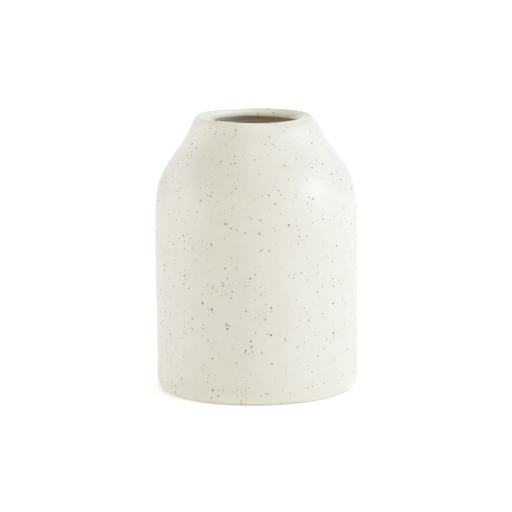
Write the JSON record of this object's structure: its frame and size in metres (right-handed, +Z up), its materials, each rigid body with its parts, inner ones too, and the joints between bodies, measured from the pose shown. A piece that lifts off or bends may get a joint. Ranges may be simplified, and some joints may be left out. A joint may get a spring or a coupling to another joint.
{
  "type": "bud vase",
  "caption": "Small round stoneware bud vase with a straight wall, rounded shoulder, short cone and thick rolled lip round a narrow mouth, in a cream speckled glaze.",
  "frame": {"origin": "centre of the foot ring, on the surface that the vase stands on", "axes": "+Z up along the axis of revolution, out of the mouth; the part is round, so +X and +Y are any two directions across it"},
  "size_m": [0.094, 0.094, 0.127],
  "materials": {
    "stoneware_clay": "matt, bare fired clay",
    "speckled_cream_glaze": "satin cream glaze with fine dark brown specks",
    "liner_glaze": "satin, thin, warm cream with fine specks; it reads brown in the shade inside the vessel"
  },
  "bodies": {
    "root": {"stoneware_body": "stoneware_clay", "exterior_glaze": "speckled_cream_glaze", "interior_glaze": "liner_glaze"}
  },
  "joints": []
}
